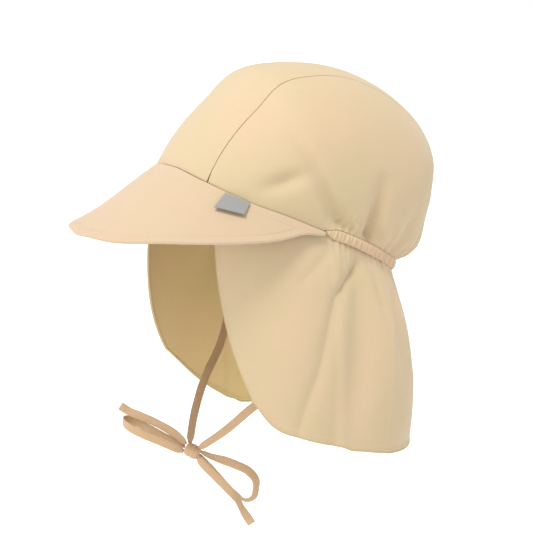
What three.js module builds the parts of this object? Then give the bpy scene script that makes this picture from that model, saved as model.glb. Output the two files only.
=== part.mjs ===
// Baby sun cap with a soft peak, a neck flap and chin ties in a bow.
// Millimetres, +Z up, +X towards the wearer's left, -Y towards the front.
// The origin is the middle of the head opening, where a head carries the cap.
import * as THREE from "three";

const { degToRad, lerp, clamp, smoothstep } = THREE.MathUtils;

// Head opening
const HEAD_HALF_WIDTH = 69;
const HEAD_HALF_LENGTH = 83.5;
const RIM_TILT = degToRad(27);
const RIM_SAG = 6.4;

// Cloth, and the gap between sewn pieces
const CLOTH = 1.2;
const SEAM_GAP = 0.3;

// Crown: three panels under one dome
const CROWN_HEIGHT = 103;
const CROWN_SIDE_BULGE = 5;
const CROWN_SQUARENESS = 2.3;
const CROWN_SQUARENESS_TOP = 0.5;
const CENTER_PANEL_HALF_WIDTH = 38;

// Elastic casing round the back of the head
const CASING_START = degToRad(88);
const CASING_TAPER = degToRad(7);
const CASING_HEIGHT = 6.6;
const CASING_THICKNESS = 4.2;
const CASING_RUCKS = 24;
const CASING_RUCK_DEPTH = 0.5;

// Peak
const PEAK_DEPTH = 71.7;
const PEAK_THICKNESS = 2.2;
const PEAK_DROOP = degToRad(32);
const PEAK_SIDE_DROOP = degToRad(12.5);
const PEAK_FAN = 0.74;
const PEAK_CAMBER = -4;

// Neck flap
const FLAP_LENGTH = 122;
const FLAP_FLARE = 20;

// Label tab in the seam between the crown and the peak
const TAB_WIDTH = 15;
const TAB_LENGTH = 11.5;
const TAB_AROUND = degToRad(43);
const TAB_THICKNESS = 1.2;
const TAB_LIFT = 1.6;

// Chin ties
const TIE_WIDTH = 5.6;
const TIE_THICKNESS = 1.1;
const TIE_ALONG_FLAP = 0.42;
const TIE_DOWN_FLAP = 0.05;
const TIE_START_ROLL = 22;
const KNOT_LENGTH = 8.6;
const KNOT_THICKNESS = 8;
const KNOT_LEAN = degToRad(-25);
const KNOT_AT = new THREE.Vector3(-1.1, -61.5, -152);
const BOW_TURN = degToRad(50);

// The crown's line over the middle of the head, from the front rim to the back rim:
// forward as a share of the head's half length, up as a share of the crown's height.
const CROWN_PROFILE = [
  { forward: 1.0, up: 0.0 },
  { forward: 0.98, up: 0.13 },
  { forward: 0.91, up: 0.34 },
  { forward: 0.81, up: 0.53 },
  { forward: 0.7, up: 0.725 },
  { forward: 0.47, up: 0.86 },
  { forward: 0.18, up: 0.955 },
  { forward: -0.1, up: 0.985 },
  { forward: -0.4, up: 0.97 },
  { forward: -0.68, up: 0.905 },
  { forward: -0.9, up: 0.775 },
  { forward: -1.01, up: 0.6 },
  { forward: -1.095, up: 0.4 },
  { forward: -1.155, up: 0.2 },
  { forward: -1.11, up: 0.07 },
  { forward: -1.0, up: 0.0 },
];

// How far the rim hangs below its plane, as a share of its sag, by the angle from the front
const RIM_SAGS = [
  { around: 0, share: 0.44 },
  { around: 10, share: 0.47 },
  { around: 25, share: 0.78 },
  { around: 48, share: 1 },
  { around: 65, share: 0.75 },
  { around: 88, share: 0.48 },
  { around: 104, share: 0.16 },
  { around: 125, share: 0.03 },
  { around: 180, share: 0 },
];

// Half width of the centre panel as a share of its named size, by the angle over the head
const CENTER_PANEL_WIDTHS = [
  { over: 0, width: 1.0 },
  { over: 40, width: 1.0 },
  { over: 85, width: 1.02 },
  { over: 130, width: 1.12 },
  { over: 180, width: 1.1 },
];

// Folds that fan out of the elastic casing. Around is the angle from the front in degrees and
// lean the angle gained on the way; reach is a share of the crown's height or the flap's
// length, depth a share of the casing's height and width an angle in degrees.
const CROWN_FOLDS = [
  { around: 98, lean: -40, reach: 0.5, width: 9, depth: 0.45 },
  { around: 116, lean: -8, reach: 0.6, width: 8, depth: 0.75 },
  { around: 134, lean: 0, reach: 0.42, width: 6, depth: 0.6 },
  { around: 151, lean: 0, reach: 0.45, width: 6, depth: 0.55 },
  { around: 169, lean: 0, reach: 0.4, width: 6, depth: 0.5 },
];
const FLAP_FOLDS = [
  { around: 101, lean: -10, reach: 0.4, width: 5, depth: 0.45 },
  { around: 110, lean: -16, reach: 1.1, width: 10, depth: 1.2 },
  { around: 128, lean: -4, reach: 0.7, width: 6, depth: 0.6 },
  { around: 147, lean: -2, reach: 0.6, width: 6, depth: 0.7 },
  { around: 167, lean: 0, reach: 0.8, width: 7, depth: 0.8 },
];

// Depth of the peak as a share of its depth in front, by the share of the way to its end
const PEAK_OUTLINE = [
  { turn: 0, depth: 1 },
  { turn: 0.18, depth: 0.927 },
  { turn: 0.36, depth: 0.707 },
  { turn: 0.55, depth: 0.474 },
  { turn: 0.73, depth: 0.277 },
  { turn: 0.86, depth: 0.11 },
  { turn: 1, depth: 0.03 },
];

// The flap's two halves from the front corner to the middle of the back. Top and bottom are
// angles from the front in degrees, sweep the power with which the one becomes the other,
// length and flare shares of the flap's length and flare.
const LEFT_FLAP = [
  { along: 0, top: 31, bottom: 50, sweep: 2.5, length: 1.06, flare: 0.15 },
  { along: 0.12, top: 46, bottom: 60, sweep: 2, length: 1.125, flare: 0.35 },
  { along: 0.3, top: 68, bottom: 76, sweep: 1.5, length: 1.107, flare: 0.7 },
  { along: 0.5, top: 94, bottom: 98, sweep: 1, length: 1.068, flare: 1 },
  { along: 0.7, top: 122, bottom: 119, sweep: 1, length: 1.005, flare: 1.2 },
  { along: 0.85, top: 150, bottom: 148, sweep: 1, length: 0.94, flare: 0.86 },
  { along: 1, top: 180, bottom: 180, sweep: 1, length: 0.9, flare: 0.7 },
];
const RIGHT_FLAP = [
  { along: 0, top: 23, bottom: 49, sweep: 2.4, length: 1.045, flare: 0.45 },
  { along: 0.12, top: 44, bottom: 64, sweep: 2, length: 1.115, flare: 0.35 },
  { along: 0.3, top: 68, bottom: 82, sweep: 1.5, length: 1.167, flare: 0.4 },
  { along: 0.5, top: 94, bottom: 102, sweep: 1, length: 1.168, flare: 0.6 },
  { along: 0.7, top: 122, bottom: 126, sweep: 1, length: 1.085, flare: 0.8 },
  { along: 0.85, top: 150, bottom: 151, sweep: 1, length: 0.975, flare: 0.8 },
  { along: 1, top: 180, bottom: 180, sweep: 1, length: 0.9, flare: 0.7 },
];

// Routes of the ties, chosen by hand. Straps run from inside the flap down to the knot, in the
// cap's own frame. The rest are given from the knot: along and across the bow, and up.
// Roll turns the tape about its run, in degrees, and wide is its gathered share of width.
const LEFT_STRAP = [
  { x: 62, y: -3, z: -42, roll: 0, wide: 1 },
  { x: 57, y: -8, z: -78, roll: 0, wide: 1 },
  { x: 46.5, y: -16.5, z: -99, roll: 20, wide: 1 },
  { x: 29.5, y: -31.5, z: -117.5, roll: 40, wide: 1 },
  { x: 14, y: -46, z: -137, roll: 40, wide: 0.95 },
];
const RIGHT_STRAP = [
  { x: -61, y: -3, z: -38, roll: 0, wide: 1 },
  { x: -54, y: -8, z: -68, roll: 5, wide: 1 },
  { x: -42, y: -20, z: -92, roll: 20, wide: 1 },
  { x: -26.5, y: -40.5, z: -113, roll: 40, wide: 1 },
  { x: -13, y: -54.5, z: -132, roll: 42, wide: 0.95 },
];
const FRONT_LOOP = [
  { along: -5.6, up: -0.2, across: -1.4, roll: 0, wide: 0.85 },
  { along: -11, up: 2.8, across: -4, roll: 0, wide: 1 },
  { along: -21, up: 7.4, across: -6, roll: 0, wide: 1 },
  { along: -31, up: 11.2, across: -7, roll: 0, wide: 1 },
  { along: -40.5, up: 14.4, across: -5, roll: 0, wide: 1 },
  { along: -46.3, up: 16.6, across: -0.5, roll: 0, wide: 1 },
  { along: -46, up: 17.2, across: 3.6, roll: 0, wide: 1 },
  { along: -40, up: 14.8, across: 6, roll: 0, wide: 1 },
  { along: -30, up: 10.6, across: 6, roll: 0, wide: 1 },
  { along: -17, up: 5.8, across: 4.2, roll: 0, wide: 0.8 },
  { along: -5.6, up: 1.6, across: 1.8, roll: 0, wide: 0.5 },
];
const BACK_LOOP = [
  { along: 5, up: -0.2, across: 0.9, roll: 80, wide: 0.5 },
  { along: 11.5, up: -3.4, across: 2, roll: 80, wide: 0.7 },
  { along: 20, up: -6, across: 3, roll: 75, wide: 1 },
  { along: 28, up: -8.4, across: 3, roll: 65, wide: 1 },
  { along: 37, up: -11.8, across: 2, roll: 55, wide: 1 },
  { along: 42, up: -17, across: 1, roll: 48, wide: 1 },
  { along: 42.3, up: -23, across: 0.5, roll: 45, wide: 0.9 },
  { along: 40.4, up: -29, across: 0.8, roll: 45, wide: 0.9 },
  { along: 35, up: -31.6, across: 1.6, roll: 45, wide: 0.9 },
  { along: 28, up: -27.7, across: 2.6, roll: 50, wide: 0.9 },
  { along: 19.2, up: -19.5, across: 3.4, roll: 55, wide: 0.9 },
  { along: 10.6, up: -10.2, across: 3.6, roll: 60, wide: 0.7 },
  { along: 4.3, up: -2.9, across: 2.1, roll: 60, wide: 0.45 },
];
const FRONT_TAIL = [
  { along: -4.3, up: 4.2, across: 0.2, roll: 0, wide: 0.8 },
  { along: -10.4, up: 10.2, across: -0.6, roll: 0, wide: 1 },
  { along: -18.4, up: 15.1, across: -1, roll: 0, wide: 1 },
  { along: -27.2, up: 19, across: -1, roll: 0, wide: 1 },
  { along: -36, up: 22.2, across: -1, roll: 0, wide: 1 },
  { along: -42.7, up: 24.6, across: -1, roll: 0, wide: 1 },
  { along: -47.8, up: 28, across: -2, roll: 0, wide: 1 },
];
const BACK_TAIL = [
  { along: 3.9, up: -3.5, across: -1.6, roll: 90, wide: 0.8 },
  { along: 8.6, up: -8.1, across: -3, roll: 88, wide: 1 },
  { along: 16, up: -14.6, across: -3.6, roll: 80, wide: 1 },
  { along: 25, up: -22.9, across: -4, roll: 75, wide: 1 },
  { along: 31, up: -29.8, across: -4, roll: 35, wide: 0.85 },
  { along: 33.6, up: -35.6, across: -3, roll: 40, wide: 0.85 },
  { along: 37, up: -41.6, across: -2, roll: 70, wide: 1 },
  { along: 40, up: -46, across: -2, roll: 80, wide: 1 },
];

// How finely the pieces are divided
const PANEL_ROWS = 10;
const PANEL_COLUMNS = 40;
const CENTER_COLUMNS = 6;
const PEAK_ROWS = 6;
const PEAK_COLUMNS = 36;
const FLAP_ROWS = 10;
const FLAP_COLUMNS = 32;
const CASING_STEPS = 78;
const TIE_SIDES = 8;
const STRAP_STEPS = 16;
const LOOP_STEPS = 25;
const TAIL_STEPS = 14;

// In front the flap hangs just inside the peak's inner edge
const FLAP_SETBACK = PEAK_THICKNESS / 2 + CLOTH / 2 + SEAM_GAP;

const FORWARD = new THREE.Vector3(0, -Math.cos(RIM_TILT), Math.sin(RIM_TILT));
const UPWARD = new THREE.Vector3(0, Math.sin(RIM_TILT), Math.cos(RIM_TILT));
const DOWN = new THREE.Vector3(0, 0, -1);
const BOW_ALONG = new THREE.Vector3(Math.cos(BOW_TURN), Math.sin(BOW_TURN), 0);
const BOW_ACROSS = new THREE.Vector3(-Math.sin(BOW_TURN), Math.cos(BOW_TURN), 0);

const cotton = new THREE.MeshStandardMaterial({ color: 0xf0d7b0, roughness: 0.9, metalness: 0 });
const gathered = new THREE.MeshStandardMaterial({ color: 0xe8c49a, roughness: 0.9, metalness: 0 });
const tape = new THREE.MeshStandardMaterial({ color: 0xe0bb91, roughness: 0.9, metalness: 0 });
const tabCloth = new THREE.MeshStandardMaterial({ color: 0xb9bcba, roughness: 0.7, metalness: 0 });

// A point given on the tilted plane of the head opening
function onRimPlane(side, forward, up) {
  return new THREE.Vector3(side, 0, 0)
    .addScaledVector(FORWARD, forward)
    .addScaledVector(UPWARD, up);
}

// A smooth reading of a table at a value of its key column
function readTable(rows, key, at, name) {
  const last = rows.length - 1;
  const found = rows.findIndex((row) => row[key] >= at);
  const next = clamp(found < 0 ? last : found, 1, last);
  const near = [next - 2, next - 1, next, next + 1].map((i) => rows[clamp(i, 0, last)]);
  const [before, from, to, after] = near;
  const span = to[key] - from[key];
  const t = clamp((at - from[key]) / span, 0, 1);
  const slopeIn = ((to[name] - before[name]) / (to[key] - before[key])) * span;
  const slopeOut = ((after[name] - from[name]) / (after[key] - from[key])) * span;
  return (2 * t ** 3 - 3 * t ** 2 + 1) * from[name]
    + (t ** 3 - 2 * t ** 2 + t) * slopeIn
    + (3 * t ** 2 - 2 * t ** 3) * to[name]
    + (t ** 3 - t ** 2) * slopeOut;
}

// The crown's line as polar rows: angle over the head and distance from the opening's middle
const crownLine = CROWN_PROFILE.map(({ forward, up }) => ({
  over: Math.atan2(up * CROWN_HEIGHT, forward * HEAD_HALF_LENGTH),
  reach: Math.hypot(up * CROWN_HEIGHT, forward * HEAD_HALF_LENGTH),
}));
const crownReach = (over) => readTable(crownLine, "over", over, "reach");
const squareness = (over) => CROWN_SQUARENESS + CROWN_SQUARENESS_TOP * Math.sin(over);
const centerHalfWidth = (over) =>
  CENTER_PANEL_HALF_WIDTH * readTable(CENTER_PANEL_WIDTHS, "over", over * THREE.MathUtils.RAD2DEG, "width");

// How far sideways the crown stands at a share of its reach
function crownSide(share, over) {
  const power = squareness(over);
  const inside = clamp(share, 0, 1);
  const dome = HEAD_HALF_WIDTH * (1 - inside ** power) ** (1 / power);
  return dome + CROWN_SIDE_BULGE * Math.sin(over) * Math.sin(Math.PI * inside);
}

// The share of the crown's reach at which it stands so far sideways, by bisection
function crownShare(side, over) {
  let low = 0.6;
  let high = 1;
  for (let step = 0; step < 30; step++) {
    const middle = (low + high) / 2;
    if (crownSide(middle, over) > side) low = middle;
    else high = middle;
  }
  return low;
}

// The rim sags below its plane, less and less towards the crown's top
function rimSag(around, up) {
  const fade = (1 - clamp(up / CROWN_HEIGHT, 0, 1)) ** 2;
  return RIM_SAG * fade * readTable(RIM_SAGS, "around", THREE.MathUtils.radToDeg(around), "share");
}

// A point of the rim by its angle from the front, positive towards the wearer's left
function rimPoint(around, drop, outward = 0) {
  const c = Math.cos(around);
  const s = Math.sin(around);
  const sum = (Math.abs(s) / HEAD_HALF_WIDTH) ** CROWN_SQUARENESS
    + (Math.abs(c) / HEAD_HALF_LENGTH) ** CROWN_SQUARENESS;
  const radius = sum ** (-1 / CROWN_SQUARENESS);
  const sag = rimSag(Math.acos(c), 0);
  return onRimPlane((radius + outward) * s, (radius + outward) * c, -sag - drop);
}

// Half the casing's height, which grows from its ends
function casingHalf(around) {
  const grown = smoothstep(around, CASING_START, CASING_START + CASING_TAPER);
  return (CASING_HEIGHT / 2) * lerp(0.35, 1, grown);
}

// The crown's lower edge lies on the rim in front and on top of the casing behind
function crownLift(around) {
  const seat = SEAM_GAP + CLOTH / 3;
  if (around >= CASING_START) return casingHalf(around) + seat;
  const rise = smoothstep(around, CASING_START - CASING_TAPER, CASING_START);
  return (casingHalf(CASING_START) + seat) * rise;
}

// A point of the flap's wall below the rim: inside the peak in front, under the casing behind
function flapWall(around) {
  const drop = Math.max(PEAK_THICKNESS / 2, casingHalf(around)) + SEAM_GAP + CLOTH / 4;
  const behind = smoothstep(around, CASING_START, CASING_START + CASING_TAPER);
  return rimPoint(around, drop, lerp(-FLAP_SETBACK, 0, behind));
}

// Inward push of the folds at an angle from the front and a distance from the casing
function foldDepth(folds, around, run) {
  let push = 0;
  for (const fold of folds) {
    const gone = run / fold.reach;
    const centre = degToRad(fold.around + fold.lean * Math.min(gone, 1));
    const away = (around - centre) / degToRad(fold.width);
    push += fold.depth * CASING_HEIGHT * Math.exp(-away * away) * Math.max(0, 1 - gone * gone);
  }
  return push;
}

function crownPoint(side, forward, up) {
  const around = Math.atan2(Math.abs(side), forward);
  const lift = crownLift(around) * (1 - smoothstep(up, 0, CROWN_HEIGHT / 3));
  const run = up / CROWN_HEIGHT;
  const push = foldDepth(CROWN_FOLDS, around, run) * smoothstep(run, -0.04, 0.1);
  const inward = 1 - push / Math.hypot(side, forward, up);
  return onRimPlane(side * inward, forward * inward, up - rimSag(around, up) + lift);
}

// A grid of points, row by row, from a function of two shares
function makeGrid(rows, columns, pointAt) {
  return Array.from({ length: rows + 1 }, (_, i) =>
    Array.from({ length: columns + 1 }, (_, j) => pointAt(i / rows, j / columns)));
}

function gridNormals(grid) {
  const normals = grid.map((row) => row.map(() => new THREE.Vector3()));
  for (let i = 0; i < grid.length - 1; i++) {
    for (let j = 0; j < grid[0].length - 1; j++) {
      const across = grid[i + 1][j + 1].clone().sub(grid[i][j]);
      const along = grid[i + 1][j].clone().sub(grid[i][j + 1]);
      const normal = across.cross(along);
      for (const [a, b] of [[i, j], [i + 1, j], [i, j + 1], [i + 1, j + 1]]) {
        normals[a][b].add(normal);
      }
    }
  }
  normals.forEach((row) => row.forEach((normal) => normal.normalize()));
  return normals;
}

// Geometry from points and triangles, turned so that its faces look outward
function closedGeometry(points, faces) {
  let volume = 0;
  for (const [a, b, c] of faces) volume += points[a].dot(points[b].clone().cross(points[c]));
  const turned = volume < 0 ? faces.map(([a, b, c]) => [a, c, b]) : faces;
  const geometry = new THREE.BufferGeometry().setFromPoints(points);
  geometry.setIndex(turned.flat());
  geometry.computeVertexNormals();
  return geometry;
}

// Closed cloth of even thickness on both sides of a grid
function clothSolid(grid, thickness) {
  const normals = gridNormals(grid);
  const rows = grid.length;
  const columns = grid[0].length;
  const points = [0.5, -0.5].flatMap((side) =>
    grid.flatMap((row, i) =>
      row.map((point, j) => point.clone().addScaledVector(normals[i][j], side * thickness))));
  const at = (layer, i, j) => (layer * rows + i) * columns + j;
  const faces = [];
  const quad = (a, b, c, d) => faces.push([a, b, c], [a, c, d]);
  for (let i = 0; i < rows - 1; i++) {
    for (let j = 0; j < columns - 1; j++) {
      quad(at(0, i, j), at(0, i + 1, j), at(0, i + 1, j + 1), at(0, i, j + 1));
      quad(at(1, i, j), at(1, i, j + 1), at(1, i + 1, j + 1), at(1, i + 1, j));
    }
  }
  const right = columns - 1;
  for (let i = 0; i < rows - 1; i++) {
    quad(at(0, i, 0), at(1, i, 0), at(1, i + 1, 0), at(0, i + 1, 0));
    quad(at(0, i, right), at(0, i + 1, right), at(1, i + 1, right), at(1, i, right));
  }
  const end = rows - 1;
  for (let j = 0; j < columns - 1; j++) {
    quad(at(0, 0, j), at(0, 0, j + 1), at(1, 0, j + 1), at(1, 0, j));
    quad(at(0, end, j), at(1, end, j), at(1, end, j + 1), at(0, end, j + 1));
  }
  return closedGeometry(points, faces);
}

// A closed solid through a run of like sections, with a flat cap on each end
function sweptSolid(sections) {
  const sides = sections[0].length;
  const points = sections.flat();
  const faces = [];
  for (let i = 0; i < sections.length - 1; i++) {
    for (let j = 0; j < sides; j++) {
      const next = (j + 1) % sides;
      const [a, b] = [i * sides + j, i * sides + next];
      faces.push([a, b, b + sides], [a, b + sides, a + sides]);
    }
  }
  const last = (sections.length - 1) * sides;
  for (let j = 1; j < sides - 1; j++) {
    faces.push([0, j + 1, j], [last, last + j, last + j + 1]);
  }
  return closedGeometry(points, faces);
}

function makePiece(name, geometry, material) {
  const mesh = new THREE.Mesh(geometry, material);
  mesh.name = name;
  return mesh;
}

// The centre panel runs over the head from the front rim to the back rim
function makeCenterPanel() {
  const grid = makeGrid(PANEL_COLUMNS, CENTER_COLUMNS, (along, across) => {
    const over = Math.PI * along;
    const side = lerp(-1, 1, across) * (centerHalfWidth(over) - SEAM_GAP / 2);
    const reach = crownReach(over) * crownShare(Math.abs(side), over);
    return crownPoint(side, reach * Math.cos(over), reach * Math.sin(over));
  });
  return makePiece("crown_center_panel", clothSolid(grid, CLOTH), cotton);
}

// A side panel fills the side view between the rim and the seam of the centre panel
function makeSidePanel(name, hand) {
  const grid = makeGrid(PANEL_ROWS, PANEL_COLUMNS, (height, along) => {
    const even = lerp(-0.99, 0.99, along);
    const back = lerp(even, Math.sin((Math.PI / 2) * even), 0.6);
    const rise = height * Math.sqrt(1 - back * back);
    const over = Math.atan2(rise, -back);
    const seam = crownShare(centerHalfWidth(over) + SEAM_GAP / 2, over);
    const share = Math.hypot(back, rise) * seam;
    const reach = crownReach(over) * share;
    return crownPoint(hand * crownSide(share, over), reach * Math.cos(over), reach * Math.sin(over));
  });
  return makePiece(name, clothSolid(grid, CLOTH), cotton);
}

// A point of the peak by its angle from the front and its share of the way out
function peakPoint(around, out) {
  const turn = around / CASING_START;
  const depth = PEAK_DEPTH * readTable(PEAK_OUTLINE, "turn", Math.abs(turn), "depth") * out;
  const droop = PEAK_DROOP + PEAK_SIDE_DROOP * turn * turn;
  const heading = around * PEAK_FAN;
  const outward = new THREE.Vector3(Math.sin(heading), -Math.cos(heading), 0);
  const sunk = depth * Math.sin(droop) - PEAK_CAMBER * Math.sin(Math.PI * out) * (depth / PEAK_DEPTH);
  return rimPoint(around, SEAM_GAP + PEAK_THICKNESS / 2)
    .addScaledVector(outward, depth * Math.cos(droop))
    .addScaledVector(DOWN, sunk);
}

function makePeak() {
  const end = CASING_START - SEAM_GAP / HEAD_HALF_WIDTH;
  const grid = makeGrid(PEAK_ROWS, PEAK_COLUMNS, (out, along) => peakPoint(lerp(-end, end, along), out));
  return makePiece("peak", clothSolid(grid, PEAK_THICKNESS), cotton);
}

// The gathered tube that holds the elastic, with its rucks
function makeCasing() {
  const end = 2 * Math.PI - CASING_START;
  const sections = Array.from({ length: CASING_STEPS + 1 }, (_, step) => {
    const around = lerp(CASING_START, end, step / CASING_STEPS);
    const ruck = 1 - Math.cos(CASING_RUCKS * (around - CASING_START) * 2);
    const half = casingHalf(Math.min(around, 2 * Math.PI - around));
    const thick = CASING_THICKNESS / 2 - (CASING_RUCK_DEPTH / 2) * ruck;
    return Array.from({ length: 8 }, (_, side) => {
      const angle = (side / 8) * 2 * Math.PI;
      return rimPoint(around, half * Math.sin(angle), thick * Math.cos(angle));
    });
  });
  return makePiece("elastic_casing", sweptSolid(sections), gathered);
}

// A point of the flap by its side, its share of the way to the back and of the way down
function flapPoint(hand, along, down) {
  const rows = hand > 0 ? LEFT_FLAP : RIGHT_FLAP;
  const read = (name) => readTable(rows, "along", along, name);
  const top = flapWall(degToRad(read("top")));
  const swing = down ** read("sweep");
  const around = degToRad(lerp(read("top"), read("bottom"), swing));
  const wall = flapWall(around);
  const belling = 1 - (1 - down) ** 3 - 0.2 * down ** 4;
  const push = foldDepth(FLAP_FOLDS, around, down) * smoothstep(down, -0.1, 0.25);
  const spread = FLAP_FLARE * read("flare") * belling - push;
  const heading = Math.atan2(wall.x, -wall.y);
  wall.x += spread * Math.sin(heading);
  wall.y -= spread * Math.cos(heading);
  wall.x *= hand;
  wall.z = top.z - FLAP_LENGTH * read("length") * down;
  return wall;
}

function makeFlap() {
  const grid = makeGrid(FLAP_ROWS, 2 * FLAP_COLUMNS, (down, across) => {
    const hand = across > 0.5 ? 1 : -1;
    return flapPoint(hand, 1 - Math.abs(2 * across - 1), down);
  });
  return makePiece("neck_flap", clothSolid(grid, CLOTH), cotton);
}

// The bare folded tab lies on the peak and goes into the seam under the crown
function makeTab() {
  const turn = TAB_WIDTH / Math.hypot(HEAD_HALF_WIDTH, HEAD_HALF_LENGTH) * Math.SQRT2;
  const depth = PEAK_DEPTH * readTable(PEAK_OUTLINE, "turn", TAB_AROUND / CASING_START, "depth");
  const seam = CLOTH / 2 + SEAM_GAP + TAB_THICKNESS / 2;
  const grid = makeGrid(3, 4, (down, across) => {
    const around = TAB_AROUND + turn * (across - 0.5);
    const out = (seam + TAB_LENGTH * down) / depth;
    const step = 0.01;
    const outward = peakPoint(around, out + step).sub(peakPoint(around, out));
    const sideways = peakPoint(around + step, out).sub(peakPoint(around, out));
    const normal = outward.cross(sideways).normalize();
    if (normal.z < 0) normal.negate();
    const lift = PEAK_THICKNESS / 2 + SEAM_GAP + TAB_THICKNESS / 2 + TAB_LIFT * down * down;
    return peakPoint(around, out).addScaledVector(normal, lift);
  });
  return makePiece("label_tab", clothSolid(grid, TAB_THICKNESS), tabCloth);
}

// A run of flat tape: its width stands along the reference direction, turned by the roll
class TapePath extends THREE.CatmullRomCurve3 {
  constructor(rows, places, reference) {
    super(places, false, "centripetal");
    this.rows = rows;
    this.reference = reference;
  }

  readRow(share, name) {
    const place = this.getUtoTmapping(share) * (this.rows.length - 1);
    const row = Math.min(Math.floor(place), this.rows.length - 2);
    return lerp(this.rows[row][name], this.rows[row + 1][name], place - row);
  }

  computeFrenetFrames(steps) {
    const frames = { tangents: [], normals: [], binormals: [] };
    for (let step = 0; step <= steps; step++) {
      const share = step / steps;
      const tangent = this.getTangentAt(share);
      const flat = this.reference.clone().addScaledVector(tangent, -tangent.dot(this.reference)).normalize();
      flat.applyAxisAngle(tangent, degToRad(this.readRow(share, "roll")));
      frames.tangents.push(tangent);
      frames.binormals.push(tangent.clone().cross(flat));
      frames.normals.push(flat.clone().multiplyScalar(this.readRow(share, "wide")));
    }
    return frames;
  }
}

function makeTape(name, rows, places, reference, steps) {
  const outline = Array.from({ length: TIE_SIDES }, (_, side) => {
    const angle = ((side + 0.5) / TIE_SIDES) * 2 * Math.PI;
    const x = Math.sign(Math.cos(angle)) * Math.abs(Math.cos(angle)) ** 0.4;
    const y = Math.sign(Math.sin(angle)) * Math.abs(Math.sin(angle)) ** 0.4;
    return new THREE.Vector2((x * TIE_WIDTH) / 2, (y * TIE_THICKNESS) / 2);
  });
  const extrudePath = new TapePath(rows, places, reference);
  const geometry = new THREE.ExtrudeGeometry(new THREE.Shape(outline), { steps, extrudePath });
  return makePiece(name, geometry, tape);
}

const fromKnot = ({ along, up, across }) =>
  KNOT_AT.clone().addScaledVector(BOW_ALONG, along).addScaledVector(BOW_ACROSS, across)
    .add(new THREE.Vector3(0, 0, up));

// A strap starts against the flap's inner face beside the casing's end and ends on the knot
function makeStrap(name, route, hand, end) {
  const start = flapPoint(hand, TIE_ALONG_FLAP, TIE_DOWN_FLAP);
  start.x -= hand * (CLOTH / 2 + 2 * SEAM_GAP + TIE_THICKNESS / 2);
  const places = [start, ...route.map(({ x, y, z }) => new THREE.Vector3(x, y, z)), fromKnot(end)];
  const rows = [{ roll: -hand * TIE_START_ROLL, wide: 1 }, ...route, end];
  const reference = new THREE.Vector3(0.3 * hand, 1, 0).normalize();
  return makeTape(name, rows, places, reference, STRAP_STEPS);
}

// The knot is a short barrel of wrapped tape round the strands
function makeKnot() {
  const half = KNOT_LENGTH / 2;
  const radius = KNOT_THICKNESS / 2;
  const outline = [[0, 1], [0.62, 1], [0.93, 0.62], [1, 0.2], [1, -0.2], [0.93, -0.62], [0.62, -1], [0, -1]]
    .map(([out, along]) => new THREE.Vector2(out * radius, -along * half));
  const mesh = makePiece("bow_knot", new THREE.LatheGeometry(outline, 12), tape);
  const lean = new THREE.Quaternion().setFromAxisAngle(new THREE.Vector3(0, 1, 0), -KNOT_LEAN);
  const lay = new THREE.Quaternion().setFromAxisAngle(new THREE.Vector3(0, 0, 1), -Math.PI / 2);
  const turn = new THREE.Quaternion().setFromAxisAngle(new THREE.Vector3(0, 0, 1), BOW_TURN);
  mesh.quaternion.copy(turn.multiply(lean).multiply(lay));
  mesh.position.copy(KNOT_AT);
  return mesh;
}

function makeTies() {
  const upright = new THREE.Vector3(0, 0, 1);
  const leftEnd = { along: 5, up: 2.6, across: -1.2, roll: 40, wide: 0.8 };
  const rightEnd = { along: -2.2, up: 4.9, across: 2, roll: 45, wide: 0.85 };
  const run = (name, rows, reference, steps) => makeTape(name, rows, rows.map(fromKnot), reference, steps);
  const ties = new THREE.Group();
  ties.add(
    makeStrap("tie_left_strap", LEFT_STRAP, 1, leftEnd),
    makeStrap("tie_right_strap", RIGHT_STRAP, -1, rightEnd),
    run("bow_front_loop", FRONT_LOOP, upright, LOOP_STEPS),
    run("bow_back_loop", BACK_LOOP, BOW_ACROSS, LOOP_STEPS),
    run("bow_front_tail", FRONT_TAIL, upright, TAIL_STEPS),
    run("bow_back_tail", BACK_TAIL, BOW_ACROSS, TAIL_STEPS),
    makeKnot(),
  );
  return ties;
}

const cap = new THREE.Group();
cap.add(
  makeCenterPanel(),
  makeSidePanel("crown_left_panel", 1),
  makeSidePanel("crown_right_panel", -1),
  makePeak(),
  makeCasing(),
  makeFlap(),
  makeTab(),
  makeTies(),
);
export default cap;
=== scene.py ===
# Look of the baby sun cap: cloth panels, gathered casing, neck flap, tab and tied bow.
# The outlines follow the same named sizes and tables as the part's source, and the folds and
# gathers are finer here. Shapes are in millimetres and become metres when a mesh is made.
import math

import bpy
import numpy as np
from mathutils import Matrix, Vector


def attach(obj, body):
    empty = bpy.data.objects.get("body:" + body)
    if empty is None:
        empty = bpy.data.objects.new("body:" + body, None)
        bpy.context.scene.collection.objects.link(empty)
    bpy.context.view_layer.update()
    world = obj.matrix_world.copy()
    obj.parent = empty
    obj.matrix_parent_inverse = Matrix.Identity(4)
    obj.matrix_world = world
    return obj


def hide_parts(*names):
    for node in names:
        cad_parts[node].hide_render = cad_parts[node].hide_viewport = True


MM = 0.001

# Head opening
HEAD_HALF_WIDTH = 69.0
HEAD_HALF_LENGTH = 83.5
RIM_TILT = math.radians(27)
RIM_SAG = 6.4

# Crown
CROWN_HEIGHT = 103.0
CROWN_SIDE_BULGE = 5.0
CROWN_SQUARENESS = 2.3
CROWN_SQUARENESS_TOP = 0.5
CENTER_PANEL_HALF_WIDTH = 38.0

# Casing
CASING_START = math.radians(88)
CASING_TAPER = math.radians(7)
CASING_HEIGHT = 6.6
CASING_THICKNESS = 4.2
RUCK_RATE = 170
RUCK_DEPTH = 0.55
BROAD_RUCK_DEPTH = 0.5
RUCK_DROP = 0.12
CASING_UNEVENNESS = 0.1

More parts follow.
